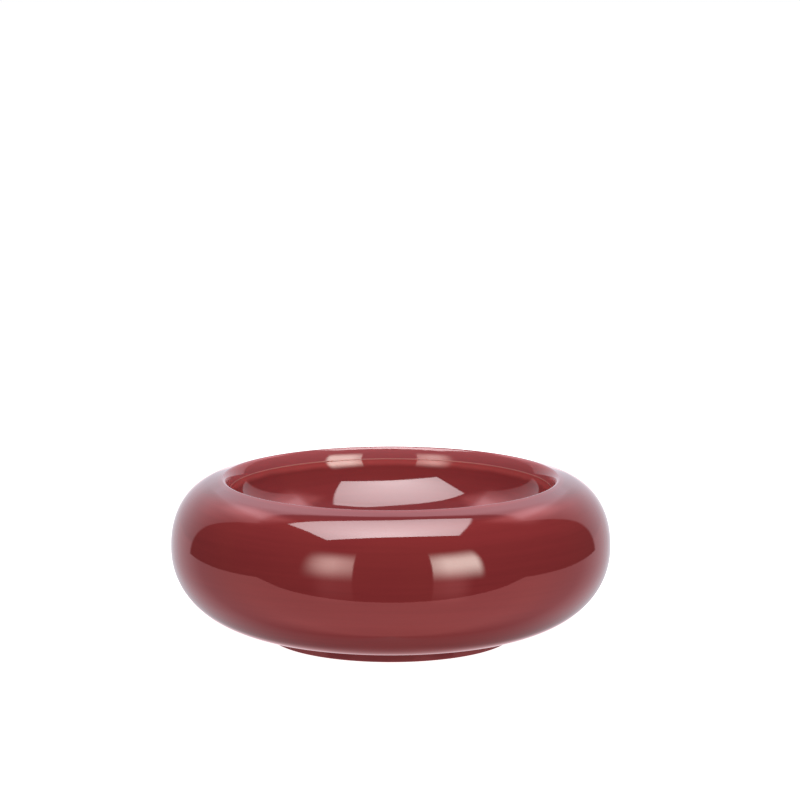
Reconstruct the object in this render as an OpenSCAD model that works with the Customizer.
// Low round bowl with a tyre-shaped hollow wall, an inward-turned rim and a
// shallow concave dish. The vessel is made from formed ceramic sections that
// are luted together with slip and glazed: an upper wall, a lower wall, an
// inner dish and a turned foot ring. Millimetres, +Z up, origin at the centre
// of the plane that the foot stands on.

/* [Overall size] */
// Largest diameter, at the belly
bowl_d = 250; // [220:1:280]
// Overall height, table to crest of the rim
bowl_h = 90.9; // [85:0.1:98]
// Height of the widest line above the table
belly_z = 52.5; // [50:0.5:55]
// Thickness of the fired wall
wall_t = 4; // [3:0.25:5]

/* [Shoulder and rim] */
// Radius of the crest, the highest line of the rim
crest_r = 95.6; // [94:0.1:97]
// Radius that the shoulder curve swells out from
swell_r = 94.8; // [92:0.2:97]
// Rise of the shoulder curve above the belly line
swell_h = 37.5; // [35:0.1:40]
// Fullness of the shoulder curve, 2 is an ellipse
shoulder_n = 2.135; // [2:0.01:2.4]
// Radius where the shoulder curve passes into the rim's slope
rim_join_r = 103; // [100:0.5:106]
// Slope of the rim where its rounded edge begins
rim_slope = 15; // [12:0.5:18]
// Half width of the ellipse that rounds the rim and the lip
lip_a = 4.8; // [4:0.1:5.5]
// Half height of the ellipse that rounds the rim and the lip
lip_b = 13; // [10:0.1:15]
// Height of the short lip, crest to joint
lip_h = 6.7; // [6:0.1:8]
// Width of the lip's joint face behind the throat
joint_w = 6; // [5.5:0.1:6.5]

/* [Lower wall and foot] */
// Radius where the lower curve meets the flat base
base_r = 68.4; // [66:0.2:69]
// Fullness of the lower curve, 2 is an ellipse
belly_n = 2.13; // [2:0.01:2.4]
// Outer radius of the foot ring
foot_r = 70; // [69.2:0.1:71]
// Width of the foot ring's tread and wall
foot_w = 8; // [6:0.25:10]
// Height of the foot ring
foot_h = 6; // [5:0.25:7]
// Bevel on the foot ring's standing edges
foot_bevel = 0.8; // [0.4:0.1:1.2]

/* [Inner dish] */
// Full depth of the dish curve, from where it would stand upright
dish_depth = 33.26; // [30:0.02:36]
// Flatness of the dish floor, higher is flatter
dish_floor_n = 3.59; // [3.2:0.01:4.5]
// Steepness of the dish side, higher is steeper
dish_side_n = 1.635; // [1.4:0.005:1.8]
// How far outside the throat the dish curve would stand upright
dish_over = 0.155; // [0.1:0.005:0.3]

/* [Joints and vent] */
// Height of the reinforcing slip band behind the belly seam
band_h = 10; // [8:0.5:12]
// Thickness of the reinforcing slip band
band_t = 2.4; // [2:0.1:3]
// Width of the slip bead in the corner under the lip
bead_w = 0.7; // [0.5:0.05:0.8]
// Radius of the kiln vent hole in the base
vent_r = 3; // [2.5:0.25:4]
// Gap left around the vent plug
vent_gap = 0.02; // [0.01:0.01:0.04]

/* [Hidden] */

glaze      = [0.53, 0.13, 0.15];
glaze_lip  = [0.60, 0.20, 0.17];
glaze_dish = [0.47, 0.11, 0.13];
foot_red   = [0.34, 0.07, 0.08];
slip_grey  = [0.74, 0.68, 0.62];
plug_clear = [0.80, 0.78, 0.75];

R       = bowl_d / 2;
joint_z = bowl_h - lip_h;
lip_z   = bowl_h - lip_b;                   // centre of the lip's ellipse
lip_end = acos((joint_z - lip_z) / lip_b);  // where it meets the dish
throat_r = crest_r - lip_a * sin(lip_end);  // radius of the dish at the joint
dish_r   = throat_r + dish_over;            // radius of the full dish curve
dish_z   = joint_z + dish_depth * pow(1 - pow(throat_r / dish_r, dish_floor_n),
                                      1 / dish_side_n);
curve_n = 30;                               // steps along each quarter curve
turn_fn = 144;

// A quarter of a superellipse (x/a)^n + (y/b)^n = 1, by polar angle.
function se_pt(a, b, n, th) =
    let (k = pow(pow(cos(th) / a, n) + pow(sin(th) / b, n), -1 / n))
    [k * cos(th), k * sin(th)];
// Its outward unit normal at [x, y].
function se_normal(a, b, n, q) =
    let (gx = pow(max(q[0], 0) / a, n - 1) / a,
         gy = pow(max(q[1], 0) / b, n - 1) / b,
         l = sqrt(gx * gx + gy * gy))
    [gx / l, gy / l];

// Shoulder: belly line up to the start of the rim's rounded edge, d inside
// the outer face. A superellipse, then a short easing curve along the slope.
join_x = rim_join_r - swell_r;
join_q = [join_x, swell_h * pow(1 - pow(join_x / (R - swell_r), shoulder_n),
                                1 / shoulder_n)];
join_m = se_normal(R - swell_r, swell_h, shoulder_n, join_q);
join_p = [rim_join_r, belly_z + join_q[1]];
edge_u = atan(tan(rim_slope) * lip_a / lip_b);
edge_p = [crest_r + lip_a * sin(edge_u), lip_z + lip_b * cos(edge_u)];
// Crossing of the two end tangents, which steers the easing curve.
ease_t = (edge_p[1] - join_p[1] - (join_p[0] - edge_p[0]) * tan(rim_slope))
         / (join_m[0] / join_m[1] - tan(rim_slope));
ease_c = [join_p[0] - ease_t, join_p[1] + ease_t * join_m[0] / join_m[1]];
function ease(t) =
    join_p * pow(1 - t, 2) + ease_c * 2 * t * (1 - t) + edge_p * pow(t, 2);
function ease_normal(t) =
    let (v = (ease_c - join_p) * (1 - t) + (edge_p - ease_c) * t, l = norm(v))
    [v[1] / l, -v[0] / l];
function shoulder(d) =
    let (a = R - swell_r, b = swell_h, th = atan2(join_q[1], join_q[0]))
    concat(
        [for (i = [0 : curve_n - 4])
            let (q = se_pt(a, b, shoulder_n, th * i / (curve_n - 4)),
                 m = se_normal(a, b, shoulder_n, q))
            [swell_r + q[0] - d * m[0], belly_z + q[1] - d * m[1]]],
        [for (i = [1 : 4])
            let (q = ease(i / 4), m = ease_normal(i / 4))
            [q[0] - d * m[0], q[1] - d * m[1]]]);

// Under-curve: belly line down to the flat base, d inside the outer face.
function under(d) =
    let (a = R - base_r, b = belly_z - foot_h)
    [for (i = [0 : curve_n])
        let (q = se_pt(a, b, belly_n, 90 * i / curve_n),
             m = se_normal(a, b, belly_n, q))
        [base_r + q[0] - d * m[0], belly_z - q[1] + d * m[1]]];

// Rounded rim: from the top of the slope over the crest and down the lip.
function rim_edge() =
    [for (i = [1 : 12])
        let (u = -edge_u + (lip_end + edge_u) * i / 12)
        [crest_r - lip_a * sin(u), lip_z + lip_b * cos(u)]];

// Dish face, centre out to the throat. The steps crowd towards the steep side.
function dish_r_at(s) = throat_r * (1 - pow(1 - s, 2.4));
function dish_z_at(r) =
    dish_z - dish_depth * pow(1 - pow(r / dish_r, dish_floor_n),
                              1 / dish_side_n);
// Slope angle of the dish face at radius r.
function dish_slope(r) =
    let (u = r / dish_r, w = 1 - pow(u, dish_floor_n))
    atan(dish_depth / dish_side_n * pow(w, 1 / dish_side_n - 1)
         * dish_floor_n * pow(u, dish_floor_n - 1) / dish_r);
// The dish curve, d under the glazed face.
function dish_face(d) =
    [for (i = [0 : 40])
        let (r = dish_r_at(i / 40), g = dish_slope(r))
        [r + d * sin(g), dish_z_at(r) - d * cos(g)]];

function backwards(v) = [for (i = [len(v) - 1 : -1 : 0]) v[i]];

// Triangular groove that the lip bead fills.
module bead_groove() {
    rotate_extrude($fn = turn_fn)
        polygon([[throat_r + bead_w, joint_z],
                 [throat_r - 1, joint_z + bead_w / 2 + 0.5],
                 [throat_r - 1, joint_z - bead_w / 2 - 0.5]]);
}

// Seat for the slip band behind the belly seam.
module band_seat() {
    translate([0, 0, belly_z - band_h / 2])
        cylinder(r = R - wall_t, h = band_h, $fn = turn_fn);
}

// Upper half of the hollow wall, over the crest and down the short lip.
module upper_wall() {
    back_r = throat_r + joint_w;
    inner = [for (q = shoulder(wall_t)) if (q[0] > back_r) q];
    color(glaze)
    difference() {
        rotate_extrude($fn = turn_fn)
            polygon(concat(
                shoulder(0), rim_edge(),
                [[back_r, joint_z]],
                backwards(inner)));
        bead_groove();
        band_seat();
    }
}

// Lower half of the hollow wall with the flat base and its vent hole.
module lower_wall() {
    color(glaze)
    difference() {
        rotate_extrude($fn = turn_fn)
            polygon(concat(
                under(0),
                [[0, foot_h], [0, foot_h + wall_t]],
                backwards(under(wall_t))));
        band_seat();
        translate([0, 0, foot_h - 1])
            cylinder(r = vent_r + vent_gap, h = wall_t + 2, $fn = 48);
    }
}

// Concave dish, luted under the lip.
module inner_dish() {
    color(glaze_dish)
    difference() {
        rotate_extrude($fn = turn_fn)
            polygon(concat(
            dish_face(0),
            [[throat_r + wall_t * sin(dish_slope(throat_r)), joint_z]],
            backwards(dish_face(wall_t))));
        bead_groove();
    }
}

// Turned foot ring under the flat base.
module foot_ring() {
    b = foot_bevel;
    color(foot_red)
    rotate_extrude($fn = turn_fn)
        polygon([[foot_r - foot_w + b, 0], [foot_r - b, 0], [foot_r, b],
                 [foot_r, foot_h], [foot_r - foot_w, foot_h],
                 [foot_r - foot_w, b]]);
}

// Band of slip that backs the seam between the two wall halves.
module belly_seam_band() {
    color(slip_grey)
    translate([0, 0, belly_z - band_h / 2])
    difference() {
        cylinder(r = R - wall_t, h = band_h, $fn = turn_fn);
        translate([0, 0, -1])
            cylinder(r = R - wall_t - band_t, h = band_h + 2, $fn = turn_fn);
    }
}

// Thin bead where the lip meets the dish, all round the throat.
module lip_seam_bead() {
    s = (bead_w / 2 + 0.5) / (bead_w + 1);   // slope of the groove's sides
    color(glaze_lip)
    rotate_extrude($fn = turn_fn)
        polygon([[throat_r + bead_w, joint_z],
                 [throat_r + 0.05, joint_z + s * (bead_w - 0.05)],
                 [throat_r - 0.12, joint_z],
                 [throat_r - 0.05, joint_z - s * (bead_w + 0.05)]]);
}

// Small fillet in the corner between the foot ring and the lower wall.
module foot_seam_fillet() {
    color(foot_red)
    rotate_extrude($fn = turn_fn)
        polygon([[foot_r, foot_h], [foot_r, foot_h - 0.7],
                 [foot_r + 0.25, foot_h - 0.25], [foot_r + 0.7, foot_h]]);
}

// Plug that closes the kiln vent after firing.
module vent_plug() {
    color(plug_clear)
    rotate_extrude($fn = 48)
        polygon([[0, foot_h - 0.8], [vent_r + 1.2, foot_h - 0.8],
                 [vent_r + 1.6, foot_h - 0.4], [vent_r + 1.6, foot_h],
                 [vent_r, foot_h], [vent_r, foot_h + wall_t],
                 [vent_r - 0.6, foot_h + wall_t + 1.2],
                 [0, foot_h + wall_t + 1.2]]);
}

upper_wall();
lower_wall();
inner_dish();
foot_ring();
belly_seam_band();
lip_seam_bead();
foot_seam_fillet();
vent_plug();
